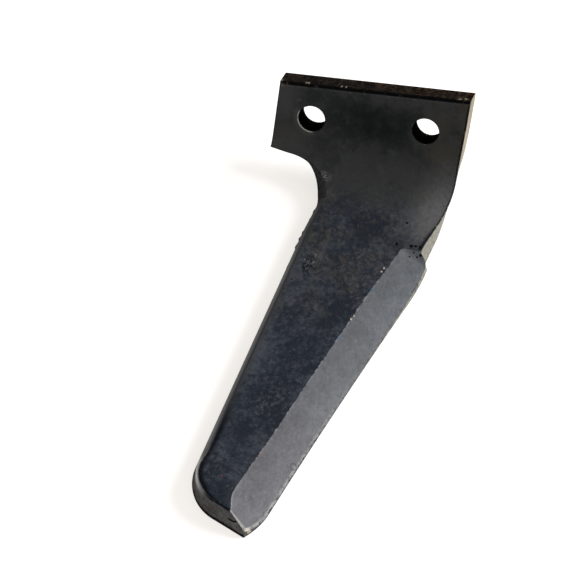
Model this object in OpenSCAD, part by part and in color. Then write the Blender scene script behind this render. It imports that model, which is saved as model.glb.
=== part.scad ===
// Power harrow tine: one forged steel blade, bent where its bolted plate meets the cutting part.
// It lies on the flat back of its blade. X runs along the bend from the trailing to the leading
// side, Y from the tip towards the plate, and Z up. The origin is on the seat of the plate,
// midway between the two bolt holes.
// The outline is set out flat, as [x, v], where v is the length down the front face from the
// origin, and then carried round the bend.

/* [Mounting plate] */
// Thickness of the bar
thickness = 15; // [10:0.5:18]
// Width of the plate between its rolled sides
plate_w = 115.5; // [108:0.5:150]
// Distance from the line of the bolt holes to the sheared top edge
plate_top = 22.5; // [18:0.5:40]
// Diameter of the two bolt holes
hole_d = 16.5; // [10:0.5:20]
// Distance between the centres of the bolt holes
hole_pitch = 70; // [50:0.5:76]
// Distance from the trailing side to the first bolt hole, square to the side
hole_margin = 22.3; // [18:0.1:30]
// Slant of the top edge and of the line of holes, against the bend
shear_angle = 7.5; // [0:0.5:12]
// Radius rolled over by the shear along the back of the top edge
roll_over = 2; // [0.5:0.5:4]
// Small rounding of the edges left by the dies
edge_break = 0.8; // [0.4:0.1:2]

/* [Bend] */
// Angle that the blade makes with the plate
bend_angle = 55; // [10:1:65]
// Inside radius of the bend
bend_radius = 25; // [15:1:60]
// Distance from the hole midpoint to the start of the bend
bend_start = 20; // [16:1:40]
// How far the inside of the bend is squeezed out at the leading side
bend_bulge = 1.3; // [0:0.1:3]

/* [Neck] */
// Distance from the hole midpoint to the shoulder on the trailing side
shoulder = 28.7; // [24:0.1:60]
// Drop of the shoulder before the neck radius begins
shoulder_drop = 1; // [0.5:0.1:4]
// Radius between the shoulder and the trailing edge
neck_radius = 22.3; // [12:0.1:30]
// How far the neck is pinched in below that radius
neck_pinch = 1.2; // [0:0.1:3]
// Width of the neck across the notch
neck_w = 75.1; // [60:0.5:90]
// Distance from the trailing side of the plate to the neck
neck_inset = 33.6; // [30:0.1:50]
// Slope of the leading side along the neck
neck_lean = 7.4; // [0:0.1:12]
// How far the leading side swells out below the notch
hip = 2.4; // [0.2:0.1:3]
// Distance from the hole midpoint to the notch above the bevel
notch_at = 71.3; // [60:0.1:110]

/* [Blade] */
// Distance from the hole midpoint to the tip, along the front face
tip_at = 270.2; // [220:1:330]
// How far the tip lies to the trailing side of the hole midpoint
tip_shift = 1.5; // [-10:0.1:20]
// Slope of the leading edge
lead_sweep = 15.1; // [8:0.1:20]
// How far the leading edge is hollowed between the notch and the tip
lead_hollow = 1.4; // [0:0.1:3]
// Length over which the tip end of the leading edge is worn round
nose_run = 17.5; // [6:0.5:30]
// How far the leading edge is worn back at the tip
nose_cut = 5.5; // [0:0.1:8]
// Slope of the trailing edge
trail_sweep = 5.6; // [0:0.1:8]
// Slope of the end edge
end_slope = 17.4; // [0:0.1:30]
// Radius of the corner between the trailing edge and the end
corner_radius = 27; // [8:0.5:30]
// How far the trailing wall draws in towards the front face
wall_draft = 3.6; // [1:0.1:5]
// How far the end wall draws in towards the front face
end_draft = 5; // [1:0.1:6]
// How far the leading wall draws in above the notch
lead_draft = 2.7; // [0.5:0.1:4]
// Rounding of the trailing edge on the front face
trail_round = 3; // [1:0.1:5]

/* [Bevel] */
// Width of the bevel along the leading edge
bevel_w = 19.8; // [10:0.1:26]
// How much the bevel widens towards the tip
bevel_flare = 1.4; // [0:0.1:5]
// Height of the leading wall left under the top of the bevel
land_top = 5.5; // [2:0.1:8]
// Height of the leading edge where it is sharpest
land_tip = 0.8; // [0.4:0.1:3]
// Distance from the notch to where the edge is sharpest
land_run = 100; // [60:1:140]
// Length over which the bevel widens to its full width below the notch
run_out = 9; // [5:0.5:16]
// Length of the ledge at the notch, where the bevel sinks and the leading wall swells out
ledge_run = 5; // [3:0.5:9]
// How far the bevel narrows where it meets the end
bevel_curl = 3.8; // [0:0.1:8]

/* [Hidden] */
$fn = 96;

// Sides of the plate, with the hole midpoint at x = 0
trail_x = -hole_margin - hole_pitch / 2 * cos(shear_angle);
lead_x = trail_x + plate_w;
neck_x = trail_x + neck_inset;
notch_x = neck_x + neck_w;
tip = [-tip_shift, tip_at];

// Points of the neck radius, the tip corner and the trailing line
arc_start = shoulder + shoulder_drop;
arc_end = arc_start + neck_radius;
arc_centre = [neck_x - neck_radius, arc_end];
bend_end = bend_start + bend_radius * bend_angle * PI / 180;
// Middle of the bend, in Y and Z
bend_centre =
    [-bend_start * cos(bend_angle) - (thickness + bend_radius) * sin(bend_angle),
     -bend_start * sin(bend_angle) + (thickness + bend_radius) * cos(bend_angle)];

// Directions along the trailing edge and the end, in the flat outline
trail_dir = [-sin(trail_sweep), cos(trail_sweep)];
end_dir = [cos(end_slope), sin(end_slope)];
// Way in from the end wall, square to it
end_in = [sin(end_slope), -cos(end_slope)];
// Where the trailing line and the end line would cross, and the length that the corner takes
corner = crossing([neck_x, arc_end], trail_dir, tip, end_dir);
corner_turn = 90 + trail_sweep - end_slope;
corner_cut = corner_radius * tan(corner_turn / 2);
corner_start = corner - corner_cut * trail_dir;
corner_centre = corner_start + corner_radius * [cos(trail_sweep), sin(trail_sweep)];

// Numbers of steps along each stretch and round each edge
plate_steps = 3;
roll_steps = 3;
bend_steps = 14;
arc_steps = 12;
neck_steps = 4;
run_steps = 12;
blade_steps = 6;
corner_steps = 12;
round_steps = 5;

// Distance that the slanted stations of the tip take up along the leading edge
tip_zone = 60;
// Room kept between the last level station and the tip corner
tip_gap = 12;
// Reach of the bulge to each side of the middle of the bend
bulge_reach = 24;
// Distance over which the neck blends into the sides of the plate
side_blend = 9;
// Length over which the pinch of the neck fades along the trailing edge
pinch_run = 26;
// Length from the tip over which the bevel widens, and over which it then curls in
flare_run = 80;
flare_end = 20;
curl_run = 25;
// How squarely the top of the bevel turns its corner at the crease; 2 is a quarter ellipse
corner_power = 2.5;
// Shortest step kept between two stations
least_step = 0.05;

function mix(a, b, t) = a + (b - a) * t;
function clamp(t) = max(0, min(1, t));
function ease(t) = let(c = clamp(t)) c * c * (3 - 2 * c);
function unit(d) = d / norm(d);

// Smaller of two values, rounded over the width r where they meet
function soft_min(a, b, r) = let(h = max(r - abs(a - b), 0) / r) min(a, b) - h * h * r / 4;

// Crossing of the line from p along d with the line from q along e
function crossing(p, d, q, e) =
    let(t = ((q.x - p.x) * e.y - (q.y - p.y) * e.x) / (d.x * e.y - d.y * e.x)) p + t * d;

function sorted(list) = len(list) < 2 ? list :
    let(pivot = list[floor(len(list) / 2)])
    concat(sorted([for (a = list) if (a < pivot) a]),
           [for (a = list) if (a == pivot) a],
           sorted([for (a = list) if (a > pivot) a]));

// A sorted list without the values that lie closer than the least step
function spaced(list) =
    [for (i = [0:len(list) - 1]) if (i == 0 || list[i] - list[i - 1] > least_step) list[i]];

// Top edge of the plate, slanted by the shear
function top_v(x) = -(plate_top + x * sin(shear_angle)) / cos(shear_angle);

// Trailing side of the outline at the back face, above the tip corner
function trail_at(v) =
    v <= shoulder ? trail_x :
    v < arc_start ? mix(trail_x, arc_centre.x, (v - shoulder) / shoulder_drop) :
    v < arc_end ? arc_centre.x
        + (1 + neck_pinch / neck_radius) * sqrt(max(0, neck_radius ^ 2 - (v - arc_end) ^ 2)) :
    neck_x - (v - arc_end) * tan(trail_sweep) + neck_pinch * (1 - ease((v - arc_end) / pinch_run));

// How far the leading edge is worn back near the tip
function nose_in(v) = nose_cut * clamp((v - tip.y + nose_run) / nose_run) ^ 2;

// Leading side of the outline at the back face
function lead_at(v) =
    let(plate_side = lead_x,
        neck_side = notch_x + (notch_at - v) * tan(neck_lean),
        t = clamp((v - notch_at) / (tip.y - notch_at)),
        edge = tip.x + nose_cut + (tip.y - v) * tan(lead_sweep)
            - 4 * lead_hollow * t * (1 - t) - nose_in(v),
        upper = soft_min(plate_side, neck_side, side_blend / 2),
        lower = soft_min(notch_x + hip, edge, side_blend / 2))
    mix(upper, lower, ease((v - notch_at) / ledge_run));

// Inward draft of the trailing wall at the front face
function trail_draft(v) = wall_draft * ease((v - arc_start) / neck_radius);

// Rounding of the trailing edge, which fades before the corner of the tip
function trail_edge(v) =
    let(on = ease((v - arc_start) / neck_radius),
        off = ease((v - corner_start.y + tip_gap) / (2 * tip_gap)))
    mix(mix(edge_break, trail_round, on), edge_break, off);

// Inward offset of the leading wall at height z
function lead_wall(v, z) =
    let(near = clamp(1 - abs(v - (bend_start + bend_end) / 2) / bulge_reach),
        below = clamp((v - bend_end) / (notch_at - bend_end)),
        fade = 1 - ease((v - notch_at) / run_out))
    lead_draft * ease(below) * fade * z / thickness
        - bend_bulge * ease(near) * (2 * z / thickness - 1);

// Width of the bevel, square to the leading side
function bevel_at(v) =
    let(t = clamp((v - notch_at) / run_out),
        full = bevel_w + bevel_flare * ease((v - tip.y + flare_run) / (flare_run - flare_end)))
    mix(edge_break, full, (1 - (1 - t) ^ corner_power) ^ (1 / corner_power))
        - bevel_curl * ease((v - tip.y + curl_run) / curl_run) - nose_in(v);

// Height of the leading wall under the bevel, which grows where the nose is worn back
function land_at(v) =
    let(t = clamp((v - notch_at) / ledge_run),
        low = mix(land_top, land_tip, clamp((v - notch_at) / land_run)))
    mix(thickness - edge_break,
        low + nose_in(v) * (thickness - low) / (bevel_at(v) + nose_in(v)), ease(t));

// Height where the back face begins at distance d from the top edge, on the rolled edge
function rolled(d) = roll_over - sqrt(max(0, roll_over ^ 2 - (roll_over - d) ^ 2));

// Stations run across the blade from a trailing point to a leading point. Each is
// [trailing point, leading point, way in for the draft, way in for the rounding, draft,
//  way in from the leading point, shift of the leading points at the front face,
//  height where the back face begins]
function station(a, b, side_in, lead_in, base = 0) =
    let(across = unit(b - a),
        from_trail = across / (across * side_in),
        from_lead = across / (across * lead_in))
    [a, b, from_trail, from_trail, trail_draft(a.y), from_lead, [0, 0], base];

// Way in from the leading side: straight across the plate, then square to the neck and the edge
function lead_way(v) =
    let(neck = neck_lean * ease((v - bend_start) / (bend_end - bend_start)),
        lean = mix(neck, lead_sweep, ease((v - notch_at + run_out) / (2 * run_out))))
    -[cos(lean), sin(lean)];

// Stations of the plate are slanted with its top edge and come level at the bend
function plate_station(t, d) =
    let(a = [trail_x, mix(top_v(trail_x) + d, bend_start, t)],
        b = [lead_x, mix(top_v(lead_x) + d, bend_start, t)])
    station(a, b, [1, 0], [-1, 0], rolled(d));

function level_station(v) =
    station([trail_at(v), v], [lead_at(v), v],
            v < arc_end ? [1, 0] : [cos(trail_sweep), sin(trail_sweep)], lead_way(v));

// Stations of the tip go round its corner and turn to the slope of the end. Their leading
// points draw in more and more, up to the last ones, which stand on the end wall.
function tip_station(t) =
    let(facing = 180 + trail_sweep - corner_turn * t,
        way_in = -[cos(facing), sin(facing)],
        a = corner_centre - corner_radius * way_in,
        v = mix(tip.y - tip_zone, tip.y, t),
        b = [lead_at(v), v],
        across = unit(b - a))
    [a, b, way_in, t == 1 ? across : way_in, mix(wall_draft, end_draft, t),
     across / (across * -[cos(lead_sweep), sin(lead_sweep)]), t ^ 2 * end_draft * end_in, 0];

level_v = spaced(sorted(concat(
    [for (i = [0:bend_steps]) mix(bend_start, bend_end, i / bend_steps)],
    [shoulder],
    [for (i = [0:arc_steps]) arc_end - neck_radius * cos(90 * i / arc_steps)],
    [for (i = [1:neck_steps - 1]) mix(arc_end, notch_at, i / neck_steps)],
    [for (i = [0:run_steps]) notch_at + run_out * i / run_steps],
    [for (i = [1:blade_steps])
        mix(notch_at + run_out, tip.y - tip_zone - tip_gap, i / blade_steps)])));

stations = concat(
    [for (i = [0:roll_steps - 1]) plate_station(0, roll_over * (1 - cos(90 * i / roll_steps)))],
    [for (i = [0:plate_steps - 1]) plate_station(i / plate_steps, roll_over)],
    [for (v = level_v) level_station(v)],
    [for (i = [0:corner_steps]) tip_station(i / corner_steps)]);

// Carries a point of the flat outline, at height z above the back face, round the bend
function bent(p, z) =
    let(turn = bend_angle * clamp((p.y - bend_start) / (bend_end - bend_start)),
        lie = bend_angle - turn,
        reach = bend_radius + thickness - z,
        along = p.y < bend_start ? bend_start - p.y : min(bend_end - p.y, 0))
    [p.x,
     bend_centre.x + reach * sin(lie) + along * cos(lie),
     bend_centre.y - reach * cos(lie) + along * sin(lie)];

// One closed ring of points round the section at a station
function ring(s) =
    let(a = s[0],
        b = s[1],
        lean = s[4] / thickness * s[2],
        shift = s[6] / thickness,
        base = s[7],
        round = trail_edge(a.y),
        land = land_at(b.y),
        crease_in = lead_wall(b.y, thickness) + bevel_at(b.y))
    concat(
        [bent(a + base * lean, base)],
        [for (i = [0:round_steps])
            let(z = thickness - round * (1 - sin(90 * i / round_steps)))
            bent(a + z * lean + round * (1 - cos(90 * i / round_steps)) * s[3], z)],
        [bent(b + crease_in * s[5] + thickness * shift, thickness),
         bent(b + lead_wall(b.y, land) * s[5] + land * shift, land),
         bent(b + lead_wall(b.y, base) * s[5], base)]);

// Skin through rings of equal length, closed by a face at each end
module loft(rings) {
    m = len(rings[0]);
    last = (len(rings) - 1) * m;
    polyhedron(
        points = [for (r = rings) each r],
        faces = concat(
            [[for (j = [0:m - 1]) j]],
            [for (i = [0:len(rings) - 2], j = [0:m - 1]) each
                let(p = i * m + j, q = i * m + (j + 1) % m)
                [[p, p + m, q], [q, p + m, q + m]]],
            [[for (j = [m - 1:-1:0]) last + j]]));
}

module bolt_hole(side) {
    centre = side * hole_pitch / 2 * [cos(shear_angle), -sin(shear_angle)];
    translate(bent(centre, 0))
        rotate([bend_angle, 0, 0])
        translate([0, 0, -1])
        cylinder(d = hole_d, h = thickness + 2);
}

module tine() {
    color([0.16, 0.17, 0.19])
    difference() {
        loft([for (s = stations) ring(s)]);
        bolt_hole(-1);
        bolt_hole(1);
    }
}

tine();
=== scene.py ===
import bpy, math
import numpy as np
from mathutils import Matrix, Vector
from types import SimpleNamespace


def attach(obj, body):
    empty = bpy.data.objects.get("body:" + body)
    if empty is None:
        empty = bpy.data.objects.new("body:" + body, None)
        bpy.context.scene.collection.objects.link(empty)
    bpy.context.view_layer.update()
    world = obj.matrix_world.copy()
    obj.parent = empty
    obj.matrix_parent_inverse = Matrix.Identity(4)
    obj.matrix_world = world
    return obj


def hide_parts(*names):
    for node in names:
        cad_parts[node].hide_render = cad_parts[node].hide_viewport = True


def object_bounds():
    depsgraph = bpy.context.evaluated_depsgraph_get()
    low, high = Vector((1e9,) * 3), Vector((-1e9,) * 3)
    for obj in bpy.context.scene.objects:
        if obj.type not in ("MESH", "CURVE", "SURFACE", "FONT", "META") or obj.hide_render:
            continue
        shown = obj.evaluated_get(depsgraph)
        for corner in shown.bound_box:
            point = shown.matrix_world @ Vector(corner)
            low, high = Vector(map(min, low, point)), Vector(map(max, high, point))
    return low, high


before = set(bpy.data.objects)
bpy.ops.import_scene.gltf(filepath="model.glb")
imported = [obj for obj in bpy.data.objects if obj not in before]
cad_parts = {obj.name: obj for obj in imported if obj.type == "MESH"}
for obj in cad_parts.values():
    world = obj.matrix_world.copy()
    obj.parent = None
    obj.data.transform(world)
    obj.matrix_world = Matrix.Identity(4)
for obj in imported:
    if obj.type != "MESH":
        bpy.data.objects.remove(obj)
cadBox = [list(corner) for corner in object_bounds()]
print("frame loaded")

scene = bpy.context.scene

# millimetres and degrees; v runs down the front face from the hole midpoint, z up from the back face
tineSizes = {
    "thickness": 15.0,
    "plateWidth": 115.5,
    "plateTop": 22.5,
    "holeRadius": 8.25,
    "holePitch": 70.0,
    "holeMargin": 22.3,
    "shearAngle": 7.5,
    "rollOver": 2.0,
    "edgeBreak": 0.8,
    "bendAngle": 55.0,
    "bendRadius": 25.0,
    "bendStart": 20.0,
    "bendBulge": 1.3,
    "shoulder": 28.7,
    "shoulderDrop": 1.0,
    "neckRadius": 22.3,
    "neckPinch": 1.2,
    "pinchRun": 26.0,
    "neckWidth": 75.1,
    "neckInset": 33.6,
    "neckLean": 7.4,
    "hip": 2.4,
    "sideBlend": 4.5,       # how softly the stretches of the leading side meet
    "notch": 71.3,
    "tipAt": 270.199,
    "tipShift": 1.5,
    "leadSweep": 15.1,
    "leadHollow": 1.4,
    "noseRun": 17.5,
    "noseCut": 5.5,
    "trailSweep": 5.6,
    "endSlope": 17.4,
    "cornerRadius": 27.0,
    "wallDraft": 3.6,
    "endDraft": 5.0,
    "leadDraft": 2.7,
    "trailRound": 3.0,
    "bevelWidth": 19.8,
    "bevelFlare": 1.4,
    "flareFrom": 80.0,      # the bevel widens over flareRun, from this far above the tip
    "flareRun": 60.0,
    "bevelCurl": 3.8,
    "curlRun": 25.0,
    "creaseX": 36.7,        # one point of the straight crease by the notch, and its slope
    "creaseV": 74.3,
    "creaseSlope": 0.2853,
    "landTop": 5.5,
    "landTip": 0.8,
    "landRun": 100.0,
    "landRise": 3.5,        # how much shallower the bevel is where it starts
    "riseRun": 34.0,
    "runOut": 9.0,
    "ledgeRun": 5.0,
    "ledgeStart": 72.2,
    "ledgeSlope": 1.5,      # steepness of the ledge where the bevel starts
    "ledgeBlend": 3.6,
    "neckFall": 0.9,        # how far the neck falls away towards its leading side
    "flashDepth": 0.7,      # torn flash at the foot of the neck
    "burrHeight": 0.03,
    "holeRim": 0.45,        # radius of the turned rim of a bolt hole
    "rearSpread": 0.25,     # how much wider the hole is at the back face
    "frontCells": 92,
    "bevelCells": 22,
    "wallCells": 14,
    "wallShare": 0.64,      # share of those cells that lie below the rounded edge
    "ringCells": 10,        # rings between a bolt hole and the square cut for it
    "holeSquare": 12.8,     # half the side of that square
    "creaseStep": 0.35,     # narrow step on both sides of the crease, which keeps it crisp
    "stripWidth": 10.0,     # strip of cells along the leading side, above the bevel
    "leadRows": (27.0, 34.5, 57.0),   # where the rows of shoulder, arc and neck reach the leading side
    "endRows": 60.0,        # the rows of the end reach it from this far above the tip
    "unevenness": 0.10,     # slow waves left by the dies
}
t = tineSizes
rad = math.radians


# the value that lies the fraction f of the way from a to b
def mix(a, b, f):
    return a + (b - a) * f


# held between 0 and 1
def clamp(f):
    return np.clip(f, 0.0, 1.0)


# 0 before 0 and 1 past 1, with three times the square less twice the cube between
def ease(f):
    f = clamp(f)
    return f * f * (3 - 2 * f)


# directions divided by their own length
def unit(d):
    return d / np.linalg.norm(d, axis=-1, keepdims=True)


# the smaller of two values, rounded over the width r where they meet
def softMin(a, b, r):
    h = np.maximum(r - np.abs(a - b), 0) / r
    return np.minimum(a, b) - h * h * r / 4


# the points where the outline's stretches meet, on the flat face
trailX = -t["holeMargin"] - t["holePitch"] / 2 * math.cos(rad(t["shearAngle"]))
leadX = trailX + t["plateWidth"]
neckX = trailX + t["neckInset"]
notchX = neckX + t["neckWidth"]
tipPoint = np.array([-t["tipShift"], t["tipAt"]])
arcStart = t["shoulder"] + t["shoulderDrop"]
arcEnd = arcStart + t["neckRadius"]
arcCentre = np.array([neckX - t["neckRadius"], arcEnd])
bendEnd = t["bendStart"] + t["bendRadius"] * rad(t["bendAngle"])
trailWay = np.array([-math.sin(rad(t["trailSweep"])), math.cos(rad(t["trailSweep"]))])
endWay = np.array([math.cos(rad(t["endSlope"])), math.sin(rad(t["endSlope"]))])


# crossing of the line from p along d with the line from q along e
def crossing(p, d, q, e):
    f = ((q[0] - p[0]) * e[1] - (q[1] - p[1]) * e[0]) / (d[0] * e[1] - d[1] * e[0])
    return p + f * d


cornerTurn = 90 + t["trailSweep"] - t["endSlope"]
cornerStart = crossing(np.array([neckX, arcEnd]), trailWay, tipPoint, endWay) \
    - t["cornerRadius"] * math.tan(rad(cornerTurn / 2)) * trailWay
cornerCentre = cornerStart + t["cornerRadius"] * np.array([trailWay[1], -trailWay[0]])


# how far the leading edge is worn back: it grows with the square of the way into the nose
def noseIn(v):
    return t["noseCut"] * clamp((v - tipPoint[1] + t["noseRun"]) / t["noseRun"]) ** 2


# leading side at the back face: plate side, leaning neck, swollen hip, then the hollowed edge to the tip
def leadAt(v):
    f = clamp((v - t["notch"]) / (tipPoint[1] - t["notch"]))
    edge = tipPoint[0] + t["noseCut"] + (tipPoint[1] - v) * math.tan(rad(t["leadSweep"])) \
        - 4 * t["leadHollow"] * f * (1 - f) - noseIn(v)
    neckSide = notchX + (t["notch"] - v) * math.tan(rad(t["neckLean"]))
    upper = softMin(leadX, neckSide, t["sideBlend"])
    lower = softMin(notchX + t["hip"], edge, t["sideBlend"])
    return mix(upper, lower, ease((v - t["notch"]) / t["ledgeRun"]))


# width of the bevel, square to the edge: even, wider near the tip, then curling in to the end
def bevelAt(v):
    return t["bevelWidth"] + t["bevelFlare"] * ease((v - tipPoint[1] + t["flareFrom"]) / t["flareRun"]) \
        - t["bevelCurl"] * ease((v - tipPoint[1] + t["curlRun"]) / t["curlRun"]) - noseIn(v)


# height of the edge under the bevel; it grows where the nose is worn back into the bevel
def landAt(v):
    low = mix(t["landTop"], t["landTip"], clamp((v - t["notch"]) / t["landRun"]))
    low = low + t["landRise"] * (1 - ease((v - t["ledgeStart"]) / t["riseRun"]))
    return low + noseIn(v) * (t["thickness"] - low) / (bevelAt(v) + noseIn(v))


# carries a flat point (x, v) at height z round the bend: straight, then an arc, then straight again
def bent(x, v, z):
    angle = rad(t["bendAngle"])
    centreY = -t["bendStart"] * math.cos(angle) - (t["thickness"] + t["bendRadius"]) * math.sin(angle)
    centreZ = -t["bendStart"] * math.sin(angle) + (t["thickness"] + t["bendRadius"]) * math.cos(angle)
    lie = angle * (1 - clamp((v - t["bendStart"]) / (bendEnd - t["bendStart"])))
    reach = t["bendRadius"] + t["thickness"] - z
    along = np.where(v < t["bendStart"], t["bendStart"] - v, np.minimum(bendEnd - v, 0))
    y = centreY + reach * np.sin(lie) + along * np.cos(lie)
    h = centreZ - reach * np.cos(lie) + along * np.sin(lie)
    return np.stack([x, y, h], -1) / 1000


# for each band of waves the spread of its frequencies, per millimetre, and its height
waveBands = ((0.03, 0.5), (0.05, 0.4), (0.08, 0.3), (0.14, 0.16), (0.3, 0.05), (0.6, 0.03))
waveRandom = np.random.default_rng(7)
waves = [(waveRandom.normal(0, 1, 2) * spread, waveRandom.uniform(0, 6.28), amount)
         for spread, amount in waveBands for _ in range(6)]


# slow unevenness: a sum of sine waves in random directions, the longer ones the deeper
def wavy(x, v):
    total = np.zeros(np.broadcast(x, v).shape)
    for way, phase, amount in waves:
        total += amount * np.sin(way[0] * x + way[1] * v + phase)
    return total


# rows run from a point on the trailing side to one on the leading side. Each stretch gives its points,
# the way in from the trailing side, the draft of the wall there and the height where the wall begins
def rowStretches():
    slope = rad(t["shearAngle"])
    shoulderRow, arcRow, neckRow = t["leadRows"]
    endRow = tipPoint[1] - t["endRows"]
    topEdge = lambda x: -(t["plateTop"] + x * math.sin(slope)) / math.cos(slope)
    stretches = []

    def add(f, ax, av, bv, wayX, wayV, draft, base=0.0):
        full = lambda q: np.broadcast_to(np.asarray(q, float), f.shape).copy()
        stretches.append([full(q) for q in (ax, av, bv, wayX, wayV, draft, base)])

    # the rolled over back edge of the top, the plate, and the first of the bend down to the shoulder
    f = np.linspace(0, 1, 4)[:-1]
    sunk = t["rollOver"] * (1 - np.cos(f * math.pi / 2))
    raised = t["rollOver"] * (1 - np.sin(f * math.pi / 2))
    add(f, trailX, topEdge(trailX) + sunk, topEdge(leadX) + sunk, 1, 0, 0, raised)
    f = np.linspace(0, 1, 41)[:-1]
    add(f, trailX, mix(topEdge(trailX) + t["rollOver"], t["bendStart"], f),
        mix(topEdge(leadX) + t["rollOver"], t["bendStart"], f), 1, 0, 0)
    f = np.linspace(0, 1, 9)[:-1]
    add(f, trailX, mix(t["bendStart"], t["shoulder"], f), mix(t["bendStart"], shoulderRow, f), 1, 0, 0)

    # the lower side of the shoulder, then the quarter circle into the neck
    f = np.linspace(0, 1, 11)[:-1]
    add(f, mix(trailX, arcCentre[0], f), mix(t["shoulder"], arcStart, f), mix(shoulderRow, arcRow, f),
        0.088, -0.996, 0)
    f = np.linspace(0, 1, 29)[:-1]
    turn = (f - 1) * math.pi / 2
    add(f, arcCentre[0] + (t["neckRadius"] + t["neckPinch"]) * np.cos(turn),
        arcCentre[1] + t["neckRadius"] * np.sin(turn), mix(arcRow, neckRow, f),
        np.cos(turn), np.sin(turn), t["wallDraft"] * ease(f))

    # the trailing side of the blade: to the notch, past the ledge, and on to the corner
    runOutRow = t["notch"] + t["runOut"]
    length = (cornerStart[1] - arcEnd) / trailWay[1]
    legs = ((0, 14, neckRow, t["notch"], 13), (14, 24, t["notch"], runOutRow, 20),
            (24, length, runOutRow, endRow, 112))
    for low, high, bLow, bHigh, cells in legs:
        f = np.linspace(0, 1, cells + 1)[:-1]
        s = mix(low, high, f)
        pinch = t["neckPinch"] * (1 - ease(s / t["pinchRun"]))
        add(f, neckX + trailWay[0] * s + pinch, arcEnd + trailWay[1] * s, mix(bLow, bHigh, f),
            trailWay[1], -trailWay[0], t["wallDraft"])

    # round the corner of the end to its straight wall
    f = np.linspace(0, 1, 53)
    facing = np.radians(180 + t["trailSweep"] - cornerTurn * f)
    add(f, cornerCentre[0] + t["cornerRadius"] * np.cos(facing),
        cornerCentre[1] + t["cornerRadius"] * np.sin(facing), mix(endRow, tipPoint[1], f),
        -np.cos(facing), -np.sin(facing), mix(t["wallDraft"], t["endDraft"], f))
    return [np.concatenate(q) for q in zip(*stretches)], len(f)


(ax, av, bv, wayX, wayV, draft, base), tipRows = rowStretches()
bx = leadAt(bv)
a = np.stack([ax, av], -1)
b = np.stack([bx, bv], -1)
wayIn = np.stack([wayX, wayV], -1)
rows = len(ax)
inTip = np.zeros(rows)
inTip[-tipRows:] = np.linspace(0, 1, tipRows)
across = unit(b - a)

# the leading side faces straight across on the plate and square to its slope below
leadFacing = np.radians(mix(t["neckLean"] * ease((bv - 20) / 30), t["leadSweep"], ease((bv - 58) / 22)))
leadNormal = np.stack([-np.cos(leadFacing), -np.sin(leadFacing)], -1)
fromLead = across / np.sum(across * leadNormal, -1, keepdims=True)

# the end wall draws in, and the rows before it close up to make room
endIn = np.array([math.sin(rad(t["endSlope"])), -math.cos(rad(t["endSlope"]))])
shiftAtFront = (inTip ** 2)[:, None] * t["endDraft"] * endIn
roundAt = mix(mix(t["edgeBreak"], t["trailRound"], ease((av - arcStart) / t["neckRadius"])),
              t["edgeBreak"], ease((av - cornerStart[1] + 10) / 22))


# inward offset of the leading wall at height z: drafted in the neck, squeezed out round the bend
def leadWall(v, z):
    near = ease(1 - np.abs(v - (t["bendStart"] + bendEnd) / 2) / 24)
    fade = 1 - ease((v - t["notch"]) / t["runOut"])
    return t["leadDraft"] * ease((v - bendEnd) / (t["notch"] - bendEnd)) * fade * z / t["thickness"] \
        - t["bendBulge"] * near * (2 * z / t["thickness"] - 1)


# depth cut from the front face at distance w from the leading edge, in a row at v: the slope of the bevel
# over its width, held back by the ledge at its top, negative where nothing is cut
def cutAt(w, width, v, ownV):
    plane = (t["thickness"] - landAt(v)) * (1 - w / width)
    ledge = (ownV - t["ledgeStart"]) * t["ledgeSlope"]
    return softMin(plane, ledge, t["ledgeBlend"])


# what the steel needs to know at each point, in millimetres: the depth of the bevel's cut there, and the
# distances from the leading edge, the trailing edge, the end and the top, negative on the front and positive
# down the walls
knownNames = ("cut", "lead", "trail", "ends", "top")


# one side of the section: a grid of flat points (x, v, z), and of the known values there
def gridOf(**values):
    shape = np.broadcast(values["x"], values["v"], values["z"]).shape
    return {name: np.broadcast_to(np.asarray(q, float), shape).copy() for name, q in values.items()}


blockWidth = mix(t["stripWidth"], bevelAt(bv), ease((bv - 40) / 28))
# ways across the front and the bevel, each with one more column for the crease itself
fFront = np.concatenate([np.linspace(0, 1, t["frontCells"]), [1.0]])
fBevel = np.concatenate([[0.0], np.linspace(0, 1, t["bevelCells"])])

frontStart = a + wayIn * (draft + roundAt)[:, None]
frontStart[-1] = a[-1] + wayIn[-1] * draft[-1] + across[-1] * roundAt[-1]


# the line where the bevel starts: the width of the block in from the leading wall, at the front face
def creaseLine():
    return b + (leadWall(bv, t["thickness"]) + blockWidth)[:, None] * fromLead + shiftAtFront


# by the notch the crease keeps to one straight line, although the leading side swells out
crease = creaseLine()
toLine = t["creaseX"] - t["creaseSlope"] * (crease[:, 1] - t["creaseV"]) - crease[:, 0]
blockWidth = blockWidth - toLine * ease((bv - 58) / 10) * (1 - ease((bv - 84) / 22))
crease = creaseLine()

# front face: straight over from the rounded trailing edge to the crease
faceWidth = np.linalg.norm(crease - frontStart, axis=-1)
toCrease = mix(faceWidth[:, None], t["creaseStep"], fFront[None, :])
toCrease[:, -1] = 0
along = 1 - toCrease / faceWidth[:, None]
fx = mix(frontStart[:, :1], crease[:, :1], along)
fv = mix(frontStart[:, 1:], crease[:, 1:], along)

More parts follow.
